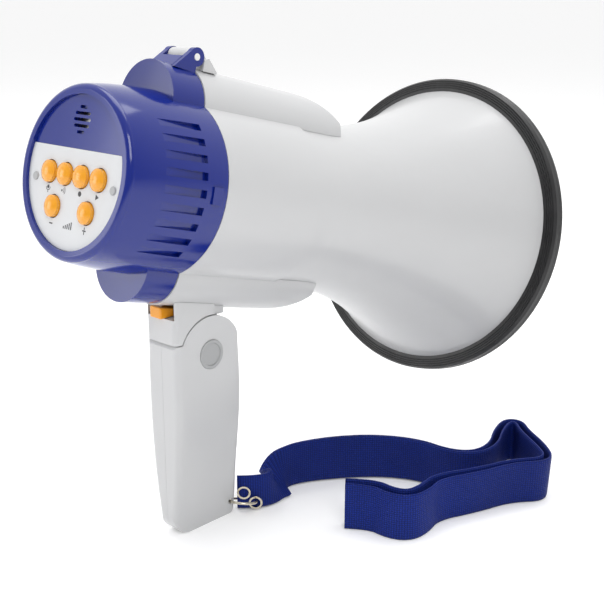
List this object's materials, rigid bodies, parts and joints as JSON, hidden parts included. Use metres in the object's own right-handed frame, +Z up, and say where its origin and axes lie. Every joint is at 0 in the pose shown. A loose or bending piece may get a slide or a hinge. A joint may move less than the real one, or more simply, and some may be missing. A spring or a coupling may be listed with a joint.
{
  "type": "handheld megaphone",
  "caption": "Battery megaphone with a flared horn, rubber rim, hinged rear cap with control buttons, pistol grip that folds forward, talk trigger and webbing wrist strap.",
  "frame": {"origin": "on the ground under the middle of the box of the rigid megaphone, at the height of the foot of the grip", "axes": "+X to the left of a user who talks into the rear cap, +Y from the mouth of the horn to the rear cap, +Z up; the head is pitched 13.8 degrees down towards its mouth"},
  "size_m": [0.1869, 0.2636, 0.2178],
  "materials": {
    "white_shell": "satin moulded ABS",
    "blue_shell": "polished royal blue ABS",
    "face_white": "satin printed plate",
    "button_orange": "glossy orange buttons",
    "trigger_orange": "satin orange",
    "rim_rubber": "black ribbed rubber",
    "grey_cap": "satin grey plastic",
    "pin_white": "satin nylon",
    "steel": "zinc plated steel",
    "nickel": "nickel plated",
    "webbing": "plain weave polypropylene webbing",
    "black_plastic": "black moulded",
    "board_green": "solder mask",
    "cell": "plain wrapped cell",
    "contact": "plated contact",
    "cone_paper": "dark diaphragm",
    "tube_white": "moulded tube"
  },
  "bodies": {
    "head": {"rear_housing": "white_shell", "horn_bell": "white_shell", "rim_ring": "rim_rubber", "speaker_basket": "steel", "speaker_magnet": "black_plastic", "speaker_cone": "cone_paper", "speaker_grille": "black_plastic", "speaker_screws": "steel", "battery_tube_upper": "tube_white", "battery_tube_lower": "tube_white", "battery_cells": "cell", "front_contacts": "contact", "hinge_pin": "pin_white", "grip_neck": "white_shell", "neck_screws": "steel", "trigger_switch": "black_plastic"},
    "cap": {"rear_cap": "blue_shell", "mic_plate": "blue_shell", "control_plate": "face_white", "face_screws": "grey_cap", "circuit_board": "board_green", "key_switches": "black_plastic", "board_screws": "steel", "mic_holder": "black_plastic", "mic_capsule": "steel", "rear_contacts": "contact", "contact_springs": "steel"},
    "grip": {"grip_left": "white_shell", "grip_right": "white_shell", "grip_screws": "steel", "pivot_pin": "steel", "pivot_cap_left": "grey_cap", "pivot_cap_right": "grey_cap", "lanyard_ring": "nickel", "wrist_strap": "webbing", "strap_eyelets": "nickel"},
    "trigger": {"talk_trigger": "trigger_orange"},
    "button_talk_power_body": {"button_talk_power": "button_orange"},
    "button_siren_body": {"button_siren": "button_orange"},
    "button_record_body": {"button_record": "button_orange"},
    "button_play_body": {"button_play": "button_orange"},
    "button_volume_down_body": {"button_volume_down": "button_orange"},
    "button_volume_up_body": {"button_volume_up": "button_orange"}
  },
  "joints": [
    {"name": "cap_hinge", "type": "hinge", "parent": "head", "child": "cap", "pos_m": [0, 0.0654, 0.21392], "axis": [1, 0, 0], "range_deg": [0, 100]},
    {"name": "grip_fold", "type": "hinge", "parent": "head", "child": "grip", "pos_m": [0, 0.06317, 0.0852], "axis": [-1, 0, 0], "range_deg": [0, 73], "deforming": ["wrist_strap"]},
    {"name": "trigger_pull", "type": "slide", "parent": "head", "child": "trigger", "axis": [0, -1, 0], "range_m": [0, 0.002], "stiffness_N_per_m": 500, "springref_m": -0.0006},
    {"name": "talk_power_press", "type": "slide", "parent": "cap", "child": "button_talk_power_body", "axis": [0, -0.9711, -0.2385], "range_m": [0, 0.0008], "stiffness_N_per_m": 800, "springref_m": -0.0004},
    {"name": "siren_press", "type": "slide", "parent": "cap", "child": "button_siren_body", "axis": [0, -0.9711, -0.2385], "range_m": [0, 0.0008], "stiffness_N_per_m": 800, "springref_m": -0.0004},
    {"name": "record_press", "type": "slide", "parent": "cap", "child": "button_record_body", "axis": [0, -0.9711, -0.2385], "range_m": [0, 0.0008], "stiffness_N_per_m": 800, "springref_m": -0.0004},
    {"name": "play_press", "type": "slide", "parent": "cap", "child": "button_play_body", "axis": [0, -0.9711, -0.2385], "range_m": [0, 0.0008], "stiffness_N_per_m": 800, "springref_m": -0.0004},
    {"name": "volume_down_press", "type": "slide", "parent": "cap", "child": "button_volume_down_body", "axis": [0, -0.9711, -0.2385], "range_m": [0, 0.0008], "stiffness_N_per_m": 800, "springref_m": -0.0004},
    {"name": "volume_up_press", "type": "slide", "parent": "cap", "child": "button_volume_up_body", "axis": [0, -0.9711, -0.2385], "range_m": [0, 0.0008], "stiffness_N_per_m": 800, "springref_m": -0.0004}
  ]
}
